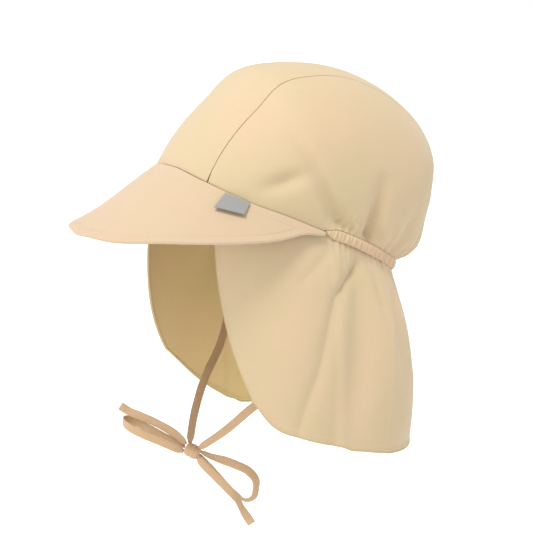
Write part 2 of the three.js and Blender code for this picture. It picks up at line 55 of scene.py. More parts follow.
# Peak
PEAK_DEPTH = 71.7
PEAK_THICKNESS = 2.2
PEAK_DROOP = math.radians(32)
PEAK_SIDE_DROOP = math.radians(12.5)
PEAK_FAN = 0.74
PEAK_CAMBER = -4.0
PEAK_STITCH_INSET = 6.2
STITCH_GROOVE_DEPTH = 0.3
STITCH_GROOVE_WIDTH = 0.55

# Flap
FLAP_LENGTH = 122.0
FLAP_FLARE = 20.0
FLAP_HEM = 3.2
HEM_EXTRA = 0.6

# Tab
TAB_WIDTH = 15.0
TAB_LENGTH = 11.5
TAB_THICKNESS = 1.0
TAB_CURL = 1.6
TAB_AROUND = math.radians(43)

# Ties
TIE_WIDTH = 5.6
TIE_THICKNESS = 1.1
TIE_ALONG_FLAP = 0.42
TIE_DOWN_FLAP = 0.05
TIE_START_ROLL = 22.0
TIE_HEM = 6.0
TIE_HEM_EXTRA = 0.45
TIE_HEM_STITCH_INSET = 1.4
TIE_HEM_STITCH_WIDTH = 0.35
TIE_HEM_STITCH_DEPTH = 0.4
FOLD_LINE_AT = 0.72
FOLD_LINE_DEPTH = 0.22
HOLLOW_AT = -0.15
HOLLOW_DEPTH = 0.1
TAPE_CUP = 0.25
TAPE_RIPPLE = 0.12
PINCH_RUN = 4.0
PINCH_WIDTH = 0.6
KNOT_LENGTH = 8.6
KNOT_THICKNESS = 8.0
KNOT_SEEN_HALF = KNOT_LENGTH / 2 + 0.7
KNOT_SEEN_RADIUS = KNOT_THICKNESS / 2 + 1.15
KNOT_LEAN = math.radians(-25)
KNOT_AT = np.array([-1.1, -61.5, -152.0])
BOW_TURN = math.radians(50)

# Cloth as it is seen, and its distance from its neighbours
CLOTH = 0.9
SOLID_CLOTH = 1.2
SEAM_GAP = 0.3
SEEN_GAP = 0.1
SEWN_EDGE = 0.12
PEAK_BUTT = 0.5

CROWN_PROFILE = {
    "forward": (
        1.0, 0.98, 0.91, 0.81, 0.7, 0.47, 0.18, -0.1,
        -0.4, -0.68, -0.9, -1.01, -1.095, -1.155, -1.11, -1.0,
    ),
    "up": (
        0.0, 0.13, 0.34, 0.53, 0.725, 0.86, 0.955, 0.985,
        0.97, 0.905, 0.775, 0.6, 0.4, 0.2, 0.07, 0.0,
    ),
}
RIM_SAGS = {
    "around": (0, 10, 25, 48, 65, 88, 104, 125, 180),
    "share": (0.44, 0.47, 0.78, 1, 0.75, 0.48, 0.16, 0.03, 0),
}
CENTER_PANEL_WIDTHS = {
    "over": (0, 40, 85, 130, 180),
    "width": (1.0, 1.0, 1.02, 1.12, 1.1),
}
PEAK_OUTLINE = {
    "turn": (0, 0.18, 0.36, 0.55, 0.73, 0.86, 1),
    "depth": (1, 0.927, 0.707, 0.474, 0.277, 0.11, 0.03),
}
LEFT_FLAP = {
    "along": (0, 0.12, 0.3, 0.5, 0.7, 0.85, 1),
    "top": (31, 46, 68, 94, 122, 150, 180),
    "bottom": (50, 60, 76, 98, 119, 148, 180),
    "sweep": (2.5, 2, 1.5, 1, 1, 1, 1),
    "length": (1.06, 1.125, 1.107, 1.068, 1.005, 0.94, 0.9),
    "flare": (0.15, 0.35, 0.7, 1, 1.2, 0.86, 0.7),
}
RIGHT_FLAP = {
    "along": (0, 0.12, 0.3, 0.5, 0.7, 0.85, 1),
    "top": (23, 44, 68, 94, 122, 150, 180),
    "bottom": (49, 64, 82, 102, 126, 151, 180),
    "sweep": (2.4, 2, 1.5, 1, 1, 1, 1),
    "length": (1.045, 1.115, 1.167, 1.168, 1.085, 0.975, 0.9),
    "flare": (0.45, 0.35, 0.4, 0.6, 0.8, 0.8, 0.7),
}

# Folds: angle from the front, lean, reach, width in degrees, depth as a share of the casing's height
CROWN_FOLDS = (
    (98, -48, 0.47, 5.5, 0.72),
    (104, -6, 0.1, 2.0, 0.28),
    (108.5, -5, 0.14, 1.8, 0.3),
    (115, -10, 0.46, 4.4, 1.25),
    (122, -4, 0.12, 2.0, 0.3),
    (127, -1, 0.17, 2.2, 0.35),
    (134, 0, 0.42, 4.0, 0.55),
    (141, 0, 0.14, 2.0, 0.3),
    (151, 0, 0.45, 5.0, 0.55),
    (160, 0, 0.16, 2.4, 0.3),
    (169, 0, 0.4, 5.0, 0.55),
)
FLAP_FOLDS = (
    (96, -26, 0.3, 3.2, 0.3),
    (101, -10, 0.4, 3.0, 0.3),
    (109, -16, 1.1, 8.0, 1.1),
    (116.5, 2, 0.35, 2.4, 0.42),
    (121, -4, 0.3, 2.2, 0.3),
    (128, -4, 0.7, 4.5, 0.6),
    (137, -2, 0.3, 2.4, 0.4),
    (147, -2, 0.6, 5.0, 0.7),
    (157, -1, 0.3, 2.6, 0.4),
    (167, 0, 0.8, 6.0, 0.8),
)

# Soft hollow low on the crown's side
DENT_AROUND = math.radians(58.5)
DENT_RUN = 0.165
DENT_WIDTH = math.radians(8)
DENT_HEIGHT = 0.06
DENT_DEPTH = 3.8

# Small gathers along the casing
GATHER_RATE = 78
GATHER_DEPTH = 0.62
GATHER_REACH = 0.095

# Narrow creases of the flap: their middle line from top to bottom
VALLEY_LINE = {
    "down": (0, 0.1, 0.18, 0.27, 0.42, 0.52, 0.67, 0.82, 1),
    "around": (112.5, 107.5, 99.5, 91.8, 86.5, 84, 80.5, 75.5, 71),
}
VALLEY_DEPTH = 4.2
VALLEY_WIDTH = math.radians(3.2)
VALLEY_FADE = 0.75
VALLEY_ROUNDNESS = 1.4
PRESSED_LINE = {
    "down": (0, 0.08, 0.15, 0.22, 0.38, 0.54, 0.7, 0.87, 1),
    "around": (132, 129, 127, 124.5, 119.5, 117, 116, 115, 115),
}
PRESSED_HEIGHT = 1.5
PRESSED_WIDTH = math.radians(3.2)

# Routes of the ties, as in the part's source
LEFT_STRAP = (
    (62, -3, -42, 0, 1),
    (57, -8, -78, 0, 1),
    (46.5, -16.5, -99, 20, 1),
    (29.5, -31.5, -117.5, 40, 1),
    (14, -46, -137, 40, 0.95),
)
RIGHT_STRAP = (
    (-61, -3, -38, 0, 1),
    (-54, -8, -68, 5, 1),
    (-42, -20, -92, 20, 1),
    (-26.5, -40.5, -113, 40, 1),
    (-13, -54.5, -132, 42, 0.95),
)
FRONT_LOOP = (
    (-5.6, -0.2, -1.4, 0, 0.85),
    (-11, 2.8, -4, 0, 1),
    (-21, 7.4, -6, 0, 1),
    (-31, 11.2, -7, 0, 1),
    (-40.5, 14.4, -5, 0, 1),
    (-46.3, 16.6, -0.5, 0, 1),
    (-46, 17.2, 3.6, 0, 1),
    (-40, 14.8, 6, 0, 1),
    (-30, 10.6, 6, 0, 1),
    (-17, 5.8, 4.2, 0, 0.8),
    (-5.6, 1.6, 1.8, 0, 0.5),
)
BACK_LOOP = (
    (5, -0.2, 0.9, 80, 0.5),
    (11.5, -3.4, 2, 80, 0.7),
    (20, -6, 3, 75, 1),
    (28, -8.4, 3, 65, 1),
    (37, -11.8, 2, 55, 1),
    (42, -17, 1, 48, 1),
    (42.3, -23, 0.5, 45, 0.9),
    (40.4, -29, 0.8, 45, 0.9),
    (35, -31.6, 1.6, 45, 0.9),
    (28, -27.7, 2.6, 50, 0.9),
    (19.2, -19.5, 3.4, 55, 0.9),
    (10.6, -10.2, 3.6, 60, 0.7),
    (4.3, -2.9, 2.1, 60, 0.45),
)
FRONT_TAIL = (
    (-4.3, 4.2, 0.2, 0, 0.8),
    (-10.4, 10.2, -0.6, 0, 1),
    (-18.4, 15.1, -1, 0, 1),
    (-27.2, 19, -1, 0, 1),
    (-36, 22.2, -1, 0, 1),
    (-42.7, 24.6, -1, 0, 1),
    (-47.8, 28, -2, 0, 1),
)
BACK_TAIL = (
    (3.9, -3.5, -1.6, 90, 0.8),
    (8.6, -8.1, -3, 88, 1),
    (16, -14.6, -3.6, 80, 1),
    (25, -22.9, -4, 75, 1),
    (31, -29.8, -4, 35, 0.85),
    (33.6, -35.6, -3, 40, 0.85),
    (37, -41.6, -2, 70, 1),
    (40, -46, -2, 80, 1),
)

FLAP_SETBACK = PEAK_THICKNESS / 2 + SOLID_CLOTH / 2 + SEAM_GAP
FORWARD = np.array([0.0, -math.cos(RIM_TILT), math.sin(RIM_TILT)])
UPWARD = np.array([0.0, math.sin(RIM_TILT), math.cos(RIM_TILT)])
SIDEWAYS = np.array([1.0, 0.0, 0.0])
UPRIGHT = np.array([0.0, 0.0, 1.0])
BOW_ALONG = np.array([math.cos(BOW_TURN), math.sin(BOW_TURN), 0.0])
BOW_ACROSS = np.array([-math.sin(BOW_TURN), math.cos(BOW_TURN), 0.0])


def lerp(a, b, t):
    return a + (b - a) * t


def smoothstep(x, low, high):
    t = np.clip((np.asarray(x, float) - low) / (high - low), 0, 1)
    return t * t * (3 - 2 * t)


def read_table(table, key, at, name):
    # A smooth reading of a table at values of its key column
    keys = np.array(table[key], float)
    values = np.array(table[name], float)
    last = len(keys) - 1
    at = np.asarray(at, float)
    following = np.clip(np.searchsorted(keys, at, side="left"), 1, last)
    before = np.clip(following - 2, 0, last)
    start = following - 1
    after = np.clip(following + 1, 0, last)
    span = keys[following] - keys[start]
    t = np.clip((at - keys[start]) / span, 0, 1)
    slope_in = (values[following] - values[before]) / (keys[following] - keys[before]) * span
    slope_out = (values[after] - values[start]) / (keys[after] - keys[start]) * span
    return (
        (2 * t**3 - 3 * t**2 + 1) * values[start]
        + (t**3 - 2 * t**2 + t) * slope_in
        + (3 * t**2 - 2 * t**3) * values[following]
        + (t**3 - t**2) * slope_out
    )


def on_rim_plane(side, forward, up):
    side = np.asarray(side, float)[..., None]
    forward = np.asarray(forward, float)[..., None]
    up = np.asarray(up, float)[..., None]
    return side * SIDEWAYS + forward * FORWARD + up * UPWARD


# The crown's middle line as angles over the head and distances from the opening's middle
CROWN_UP = np.array(CROWN_PROFILE["up"]) * CROWN_HEIGHT
CROWN_FORWARD = np.array(CROWN_PROFILE["forward"]) * HEAD_HALF_LENGTH
CROWN_LINE = {
    "over": tuple(np.arctan2(CROWN_UP, CROWN_FORWARD)),
    "reach": tuple(np.hypot(CROWN_UP, CROWN_FORWARD)),
}


def crown_reach(over):
    return read_table(CROWN_LINE, "over", over, "reach")


def center_half_width(over):
    return CENTER_PANEL_HALF_WIDTH * read_table(CENTER_PANEL_WIDTHS, "over", np.degrees(over), "width")


def crown_side(share, over):
    power = CROWN_SQUARENESS + CROWN_SQUARENESS_TOP * np.sin(over)
    inside = np.clip(share, 0, 1)
    dome = HEAD_HALF_WIDTH * (1 - inside**power) ** (1 / power)
    return dome + CROWN_SIDE_BULGE * np.sin(over) * np.sin(np.pi * inside)


def crown_share(side, over):
    side, over = np.broadcast_arrays(np.asarray(side, float), np.asarray(over, float))
    low = np.full(side.shape, 0.6)
    high = np.ones(side.shape)
    for _ in range(30):
        middle = (low + high) / 2
        wider = crown_side(middle, over) > side
        low = np.where(wider, middle, low)
        high = np.where(wider, high, middle)
    return low


def rim_sag(around, up):
    fade = (1 - np.clip(up / CROWN_HEIGHT, 0, 1)) ** 2
    return RIM_SAG * fade * read_table(RIM_SAGS, "around", np.degrees(around), "share")


def rim_point(around, drop, outward=0.0):
    c = np.cos(around)
    s = np.sin(around)
    sideways = (np.abs(s) / HEAD_HALF_WIDTH) ** CROWN_SQUARENESS
    lengthways = (np.abs(c) / HEAD_HALF_LENGTH) ** CROWN_SQUARENESS
    radius = (sideways + lengthways) ** (-1 / CROWN_SQUARENESS)
    sag = rim_sag(np.arccos(c), 0)
    return on_rim_plane((radius + outward) * s, (radius + outward) * c, -sag - drop)


def casing_half(around):
    return CASING_HEIGHT / 2 * lerp(0.35, 1, smoothstep(around, CASING_START, CASING_START + CASING_TAPER))


def crown_lift(around):
    seat = SEEN_GAP
    behind = casing_half(around) + seat
    rise = smoothstep(around, CASING_START - CASING_TAPER / 4, CASING_START)
    in_front = (casing_half(CASING_START) + seat) * rise
    return np.where(around >= CASING_START, behind, in_front)


def flap_wall(around):
    drop = np.maximum(PEAK_THICKNESS / 2, casing_half(around)) + SEEN_GAP
    behind = smoothstep(around, CASING_START, CASING_START + CASING_TAPER)
    return rim_point(around, drop, lerp(-FLAP_SETBACK, 0, behind))


def fold_depth(folds, around, run):
    push = np.zeros(np.broadcast(around, run).shape)
    for angle, lean, reach, width, depth in folds:
        gone = run / reach
        centre = np.radians(angle + lean * np.minimum(gone, 1))
        away = (around - centre) / math.radians(width)
        push = push + depth * CASING_HEIGHT * np.exp(-away * away) * np.maximum(0, 1 - gone * gone)
    return push


def gathers(around, run):
    # Small gathers beside the casing, which die out within a few millimetres
    behind = smoothstep(around, CASING_START, CASING_START + CASING_TAPER)
    phase = GATHER_RATE * around + 1.5 * np.sin(7 * around) + 0.9 * np.sin(17 * around + 1)
    uneven = 0.6 + 0.4 * np.sin(11 * around + 2)
    return GATHER_DEPTH * behind * uneven * np.cos(phase) * np.exp(-((run / GATHER_REACH) ** 2))


def dent_depth(around, run):
    across = (around - DENT_AROUND) / DENT_WIDTH
    along = (run - DENT_RUN - 0.06 * across) / DENT_HEIGHT
    return DENT_DEPTH * np.exp(-across * across - along * along)


def crease_depth(around, down):
    # The narrow valley pushes in and the pressed line stands out a little
    valley = np.abs(around - np.radians(read_table(VALLEY_LINE, "down", down, "around"))) / VALLEY_WIDTH
    pressed = np.abs(around - np.radians(read_table(PRESSED_LINE, "down", down, "around"))) / PRESSED_WIDTH
    grown = smoothstep(down, 0.0, 0.12)
    pushed_in = VALLEY_DEPTH * (1 - VALLEY_FADE * down) * np.exp(-valley**VALLEY_ROUNDNESS)
    standing_out = PRESSED_HEIGHT * np.exp(-pressed)
    return grown * (pushed_in - standing_out)


def crown_point(side, forward, up):
    around = np.arctan2(np.abs(side), forward)
    lift = crown_lift(around) * (1 - smoothstep(up, 0, CROWN_HEIGHT / 3))
    run = up / CROWN_HEIGHT
    push = fold_depth(CROWN_FOLDS, around, run) * smoothstep(run, -0.02, 0.05)
    push = push + np.where(side > 0, dent_depth(around, run), 0) + gathers(around, run)
    inward = 1 - push / np.sqrt(side**2 + forward**2 + up**2)
    return on_rim_plane(side * inward, forward * inward, up - rim_sag(around, up) + lift)


def peak_point(around, out):
    turn = around / CASING_START
    depth = PEAK_DEPTH * read_table(PEAK_OUTLINE, "turn", np.abs(turn), "depth") * out
    droop = PEAK_DROOP + PEAK_SIDE_DROOP * turn * turn
    heading = around * PEAK_FAN
    outward = np.stack([np.sin(heading), -np.cos(heading), 0 * heading], -1)
    sunk = depth * np.sin(droop) - PEAK_CAMBER * np.sin(np.pi * out) * (depth / PEAK_DEPTH)
    down = np.stack([0 * sunk, 0 * sunk, -sunk], -1)
    start = rim_point(around, SEEN_GAP + PEAK_THICKNESS / 2 - PEAK_BUTT, CLOTH / 2 + SEEN_GAP)
    return start + outward * (depth * np.cos(droop))[..., None] + down


def flap_point(hand, along, down):
    rows = LEFT_FLAP if hand > 0 else RIGHT_FLAP

    def read(name):
        return read_table(rows, "along", along, name)

    top = flap_wall(np.radians(read("top")))
    swing = down ** read("sweep")
    around = np.radians(lerp(read("top"), read("bottom"), swing))
    wall = flap_wall(around)
    belling = 1 - (1 - down) ** 3 - 0.2 * down**4
    push = fold_depth(FLAP_FOLDS, around, down) * smoothstep(down, -0.1, 0.25)
    if hand > 0:
        push = push + crease_depth(around, down)
    push = push + gathers(around, down)
    spread = FLAP_FLARE * read("flare") * belling - push
    heading = np.arctan2(wall[..., 0], -wall[..., 1])
    x = (wall[..., 0] + spread * np.sin(heading)) * hand
    y = wall[..., 1] - spread * np.cos(heading)
    z = top[..., 2] - FLAP_LENGTH * read("length") * down
    return np.stack([x, y, z], -1)


def unit(vectors):
    length = np.linalg.norm(vectors, axis=-1, keepdims=True)
    return vectors / np.maximum(length, 1e-9)


def grid_normals(grid):
    return unit(np.cross(np.gradient(grid, axis=0), np.gradient(grid, axis=1)))


def run_length(grid, axis):
    # Distance along the grid's lines from their first point
    steps = np.linalg.norm(np.diff(grid, axis=axis), axis=-1)
    start = np.zeros_like(np.take(steps, [0], axis=axis))
    return np.cumsum(np.concatenate([start, steps], axis=axis), axis=axis)


def edge_distance(grid):
    down = run_length(grid, 0)
    across = run_length(grid, 1)
    return np.minimum.reduce([down, down[-1:] - down, across, across[:, -1:] - across])


def edge_rounding(grid, radius):
    # 1 on an edge and 0 inside it; the first row is a sewn edge and keeps a small radius
    down = run_length(grid, 0)
    across = run_length(grid, 1)
    free = np.minimum.reduce([down[-1:] - down, across, across[:, -1:] - across])
    return np.maximum(np.clip(1 - free / radius, 0, 1), np.clip(1 - down / SEWN_EDGE, 0, 1))


def edge_shares(count, length, radius=0.7):
    # Even shares of a run with some close ones at both ends, for a rounded edge
    close = np.array([0.0, 0.08, 0.3, 0.65, 1.0]) * radius / length
    inner = np.linspace(close[-1], 1 - close[-1], count)
    return np.concatenate([close[:-1], inner, 1 - close[:-1][::-1]])


def new_object(name, points, faces, weave=None):
    mesh = bpy.data.meshes.new(name)
    mesh.from_pydata((np.asarray(points) * MM).tolist(), [], faces)
    if weave is not None:
        layer = mesh.uv_layers.new(name="weave")
        loops = np.zeros(len(mesh.loops), np.int32)
        mesh.loops.foreach_get("vertex_index", loops)
        layer.data.foreach_set("uv", np.asarray(weave, np.float32)[loops].ravel())
    mesh.polygons.foreach_set("use_smooth", [True] * len(mesh.polygons))
    mesh.update()
    obj = bpy.data.objects.new(name, mesh)
    bpy.context.scene.collection.objects.link(obj)
    return obj


def cloth_object(name, grid, thickness, outward, radius=0.5):
    # Closed cloth round a grid, with rounded edges; outward says which side is layer 0
    normals = grid_normals(grid)
    if np.sum(normals * outward) < 0:
        normals = -normals
    rounding = edge_rounding(grid, radius)
    half = thickness / 2 * np.sqrt(np.maximum(1 - rounding**2, 0.01))
    rows, columns = grid.shape[:2]
    layers = [grid + normals * half[..., None], grid - normals * half[..., None]]
    points = np.concatenate([layer.reshape(-1, 3) for layer in layers])
    weave = np.stack([run_length(grid, 1), run_length(grid, 0)], -1).reshape(-1, 2)
    index = np.arange(rows * columns).reshape(rows, columns)
    a, b = index[:-1, :-1], index[1:, :-1]
    c, d = index[1:, 1:], index[:-1, 1:]
    front = np.stack([a, b, c, d], -1).reshape(-1, 4)
    back = front[:, ::-1] + rows * columns
    border = np.concatenate([index[0, :-1], index[:-1, -1], index[-1, :0:-1], index[:0:-1, 0]])
    following = np.roll(border, -1)
    rim = np.stack([border, following, following + rows * columns, border + rows * columns], -1)
    faces = np.concatenate([front, back, rim])
    turned = np.sum(np.cross(grid[1, 0] - grid[0, 0], grid[0, 1] - grid[0, 0]) * normals[0, 0]) < 0
    if turned:
        faces = faces[:, ::-1]
    return new_object(name, points, faces.tolist(), np.concatenate([weave, weave]))


def swept_object(name, sections, closed=False):
    # A skin through like sections; closed joins the last one to the first, else both ends are capped
    count, sides = sections.shape[:2]
    points = sections.reshape(-1, 3)
    index = np.arange(count * sides).reshape(count, sides)
    following = np.roll(index, -1, axis=1)
    last = count if closed else count - 1
    ahead = np.roll(index, -1, axis=0)
    ahead_next = np.roll(following, -1, axis=0)
    quads = np.stack([index[:last], following[:last], ahead_next[:last], ahead[:last]], -1)
    faces = quads.reshape(-1, 4).tolist()
    if not closed:
        faces.append(index[0, ::-1].tolist())
        faces.append(index[-1].tolist())
    along = np.concatenate([[0], np.cumsum(np.linalg.norm(np.diff(sections.mean(1), axis=0), axis=-1))])
    around = np.concatenate([[0], np.cumsum(np.linalg.norm(np.diff(sections[0], axis=0), axis=-1))])
    weave = np.stack(np.meshgrid(along, around, indexing="ij"), -1).reshape(-1, 2)
    return new_object(name, points, faces, weave)


def stitch_row(name, places, normals, pitch=2.6, fill=0.72, radius=0.17, flatness=0.8, sunk=0.05):
    # Short stitches of thread along a line on the cloth
    along = np.concatenate([[0], np.cumsum(np.linalg.norm(np.diff(places, axis=0), axis=-1))])
    count = max(2, int(along[-1] / pitch))
    points = []
    faces = []
    ring = 6
    shares = np.array([-1.0, -0.8, -0.3, 0.3, 0.8, 1.0])
    swell = np.array([0.25, 0.8, 1.0, 1.0, 0.8, 0.25])
    angles = np.arange(ring) / ring * 2 * math.pi
    for stitch in range(count):
        middle = (stitch + 0.5) * along[-1] / count
        spots = middle + shares * pitch * fill / 2
        line = np.stack([np.interp(spots, along, places[:, k]) for k in range(3)], -1)
        up = unit(np.stack([np.interp(middle, along, normals[:, k]) for k in range(3)], -1))
        heading = unit(line[-1] - line[0])
        aside = unit(np.cross(up, heading))
        base = len(points)
        for k, spot in enumerate(line):
            dip = sunk + radius * 1.1 * abs(shares[k]) ** 3
            for angle in angles:
                across = aside * math.cos(angle) * radius * swell[k]
                raised = up * math.sin(angle) * radius * flatness * swell[k]
                points.append(spot + (across + raised) - up * dip)
        for k in range(len(shares) - 1):
            for j in range(ring):
                a = base + k * ring + j
                b = base + k * ring + (j + 1) % ring
                faces.append((a, b, b + ring, a + ring))
        faces.append(tuple(base + j for j in reversed(range(ring))))
        faces.append(tuple(base + (len(shares) - 1) * ring + j for j in range(ring)))
    return new_object(name, points, faces)


def overlock(name, places, inward, normals, pitch=1.5, reach=1.9, lift=0.95, radius=0.22):
    # Thread wound over a cloth edge in close loops
    along = np.concatenate([[0], np.cumsum(np.linalg.norm(np.diff(places, axis=0), axis=-1))])
    turns = int(along[-1] / pitch)
    per_turn = 10
    at = np.linspace(0, along[-1], turns * per_turn + 1)
    phase = at / along[-1] * turns * 2 * math.pi

    def take(values):
        return np.stack([np.interp(at, along, values[:, k]) for k in range(3)], -1)

    middle = take(places) + unit(take(inward)) * (reach / 2 - 0.25)
    line = middle - unit(take(inward)) * (np.cos(phase) * reach / 2)[:, None]
    line = line + unit(take(normals)) * (np.sin(phase) * lift)[:, None]
    tangent = unit(np.gradient(line, axis=0))
    side = unit(np.cross(tangent, unit(take(normals)) + 0.3 * unit(take(inward))))
    up = np.cross(side, tangent)
    angles = np.arange(5) / 5 * 2 * math.pi
    ring = np.cos(angles)[None, :, None] * side[:, None] + np.sin(angles)[None, :, None] * up[:, None]
    return swept_object(name, line[:, None] + ring * radius)


def math_node(nodes, links, operation, first, second=None):
    node = nodes.new("ShaderNodeMath")
    node.operation = operation
    for socket, value in zip(node.inputs, (first, second)):
        if value is None:
            continue
        if isinstance(value, (int, float)):
            socket.default_value = value
        else:
            links.new(value, socket)
    return node.outputs[0]


def linear(red, green, blue):
    # A colour as it is picked on a screen, made linear
    shares = (red / 255, green / 255, blue / 255)
    return tuple(((share + 0.055) / 1.055) ** 2.4 for share in shares) + (1.0,)


def thread_wave(nodes, links, coordinate, pitch):
    phase = math_node(nodes, links, "MULTIPLY", coordinate, 2 * math.pi / pitch)
    return math_node(nodes, links, "SINE", phase)


def cloth_material(name, tint, warm, cool, pitch=0.42, weave=0.3, crumple=0.25, crumple_size=14.0):
    # Plain woven cotton: crossing threads, slubs, soft unevenness and a little drift of colour
    material = bpy.data.materials.new(name)
    material.use_nodes = True
    nodes = material.node_tree.nodes
    links = material.node_tree.links
    shader = nodes["Principled BSDF"]
    shader.inputs["Roughness"].default_value = 0.86
    shader.inputs["Sheen Weight"].default_value = 0.18
    shader.inputs["Sheen Roughness"].default_value = 0.5
    shader.inputs["Specular IOR Level"].default_value = 0.25
    coordinates = nodes.new("ShaderNodeUVMap")
    coordinates.uv_map = "weave"
    split = nodes.new("ShaderNodeSeparateXYZ")
    links.new(coordinates.outputs[0], split.inputs[0])
    warp = thread_wave(nodes, links, split.outputs[0], pitch)
    weft = thread_wave(nodes, links, split.outputs[1], pitch)
    threads = math_node(nodes, links, "MULTIPLY", warp, weft)
    slub_stretch = nodes.new("ShaderNodeMapping")
    slub_stretch.inputs["Scale"].default_value = (0.12, 2.4, 1)
    links.new(coordinates.outputs[0], slub_stretch.inputs[0])
    slub = nodes.new("ShaderNodeTexNoise")
    slub.inputs["Scale"].default_value = 1.0
    slub.inputs["Detail"].default_value = 2.0
    links.new(slub_stretch.outputs[0], slub.inputs["Vector"])
    place = nodes.new("ShaderNodeTexCoord")
    drift = nodes.new("ShaderNodeTexNoise")
    drift.inputs["Scale"].default_value = 1000 / 42
    drift.inputs["Detail"].default_value = 3.0
    links.new(place.outputs["Object"], drift.inputs["Vector"])
    soft = nodes.new("ShaderNodeTexNoise")
    soft.inputs["Scale"].default_value = 1000 / crumple_size
    soft.inputs["Detail"].default_value = 4.0
    soft.inputs["Roughness"].default_value = 0.45
    links.new(place.outputs["Object"], soft.inputs["Vector"])
    shades = nodes.new("ShaderNodeValToRGB")
    shades.color_ramp.elements[0].position = 0.3
    shades.color_ramp.elements[0].color = warm
    shades.color_ramp.elements[1].position = 0.7
    shades.color_ramp.elements[1].color = cool
    middle = shades.color_ramp.elements.new(0.5)
    middle.color = tint
    links.new(drift.outputs["Fac"], shades.inputs[0])
    thread_shade = math_node(nodes, links, "MULTIPLY", threads, 0.02)
    slub_shade = math_node(nodes, links, "MULTIPLY", slub.outputs["Fac"], 0.08)
    fine = math_node(nodes, links, "ADD", thread_shade, slub_shade)
    value = nodes.new("ShaderNodeHueSaturation")
    links.new(math_node(nodes, links, "ADD", fine, 0.96), value.inputs["Value"])
    links.new(shades.outputs[0], value.inputs["Color"])
    links.new(value.outputs[0], shader.inputs["Base Color"])
    crumple_bump = nodes.new("ShaderNodeBump")
    crumple_bump.inputs["Strength"].default_value = crumple
    crumple_bump.inputs["Distance"].default_value = 0.0012
    links.new(soft.outputs["Fac"], crumple_bump.inputs["Height"])
    slub_bump = nodes.new("ShaderNodeBump")
    slub_bump.inputs["Strength"].default_value = 0.25
    slub_bump.inputs["Distance"].default_value = 0.00008
    links.new(slub.outputs["Fac"], slub_bump.inputs["Height"])
    links.new(crumple_bump.outputs[0], slub_bump.inputs["Normal"])
    weave_bump = nodes.new("ShaderNodeBump")
    weave_bump.inputs["Strength"].default_value = weave
    weave_bump.inputs["Distance"].default_value = 0.00006
    links.new(threads, weave_bump.inputs["Height"])
    links.new(slub_bump.outputs[0], weave_bump.inputs["Normal"])
    links.new(weave_bump.outputs[0], shader.inputs["Normal"])
    return material


def thread_material(name, tint):
    # Sewing thread with its twist
    material = bpy.data.materials.new(name)
    material.use_nodes = True
    nodes = material.node_tree.nodes
    links = material.node_tree.links
    shader = nodes["Principled BSDF"]
    shader.inputs["Roughness"].default_value = 0.6
    shader.inputs["Sheen Weight"].default_value = 0.2
    place = nodes.new("ShaderNodeTexCoord")
    twist = nodes.new("ShaderNodeTexWave")
    twist.inputs["Scale"].default_value = 1600
    twist.inputs["Distortion"].default_value = 2.0
    links.new(place.outputs["Object"], twist.inputs["Vector"])
    shades = nodes.new("ShaderNodeValToRGB")
    shades.color_ramp.elements[0].color = tuple(0.86 * c for c in tint[:3]) + (1.0,)
    shades.color_ramp.elements[1].color = tint
    links.new(twist.outputs["Fac"], shades.inputs[0])
    links.new(shades.outputs[0], shader.inputs["Base Color"])
    bump = nodes.new("ShaderNodeBump")
    bump.inputs["Strength"].default_value = 0.3
    bump.inputs["Distance"].default_value = 0.00005
    links.new(twist.outputs["Fac"], bump.inputs["Height"])
    links.new(bump.outputs[0], shader.inputs["Normal"])
    return material


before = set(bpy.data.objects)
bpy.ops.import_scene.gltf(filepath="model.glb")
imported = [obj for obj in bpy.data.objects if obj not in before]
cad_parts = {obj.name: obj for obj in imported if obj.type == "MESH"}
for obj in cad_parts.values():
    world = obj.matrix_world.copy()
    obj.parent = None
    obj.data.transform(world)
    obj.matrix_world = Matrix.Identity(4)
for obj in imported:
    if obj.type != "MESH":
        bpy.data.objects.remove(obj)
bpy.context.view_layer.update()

# Camera at the photograph's viewing angle
AZIMUTH = math.radians(62)
ELEVATION = math.radians(11)
DISTANCE = 850.0
VIEW_WIDTH = 346.45
right = np.array([math.cos(AZIMUTH), math.sin(AZIMUTH), 0.0])
ahead = np.array([
    -math.sin(AZIMUTH) * math.cos(ELEVATION),
    math.cos(AZIMUTH) * math.cos(ELEVATION),
    -math.sin(ELEVATION),
])
above = np.cross(right, ahead)
aim = -6.5 * right - 34.5 * above
camera_data = bpy.data.cameras.new("camera")
camera_data.sensor_width = 36.0
camera_data.lens = 36.0 * DISTANCE / VIEW_WIDTH
camera_data.clip_start = 0.01
camera_data.clip_end = 20.0
camera = bpy.data.objects.new("camera", camera_data)
bpy.context.scene.collection.objects.link(camera)
camera_place = Matrix(np.stack([right, above, -ahead], 1).tolist()).to_4x4()
camera_place.translation = Vector((aim - ahead * DISTANCE) * MM)
camera.matrix_world = camera_place
bpy.context.scene.camera = camera

# Materials
CREAM = linear(186, 166, 133)
CREAM_WARM = linear(190, 166, 135)
CREAM_COOL = linear(184, 166, 131)
crown_cotton = cloth_material("crown_cotton", CREAM, CREAM_WARM, CREAM_COOL)
peak_cotton = cloth_material(
    "peak_cotton", linear(186, 163, 135), linear(189, 163, 136), linear(185, 164, 134), crumple=0.1
)
flap_cotton = cloth_material(
    "flap_cotton", CREAM, CREAM_WARM, CREAM_COOL, crumple=0.2, crumple_size=22.0
)
# Same cotton as the flap's outside, painted lighter and yellower: painted light for the inside of the cap
flap_inside_painted_light = cloth_material(
    "flap_inside_painted_light", linear(213, 189, 139), linear(215, 188, 141), linear(209, 190, 135),
    crumple=0.2, crumple_size=22.0
)
gathered_cotton = cloth_material(
    "gathered_cotton", linear(190, 165, 133), linear(193, 164, 134), linear(187, 166, 132),
    crumple=0.3, crumple_size=5.0
)
tie_cotton = cloth_material(
    "tie_cotton", linear(185, 155, 121), linear(187, 154, 122), linear(180, 153, 120),
    pitch=0.36, crumple=0.4, crumple_size=6.0
)
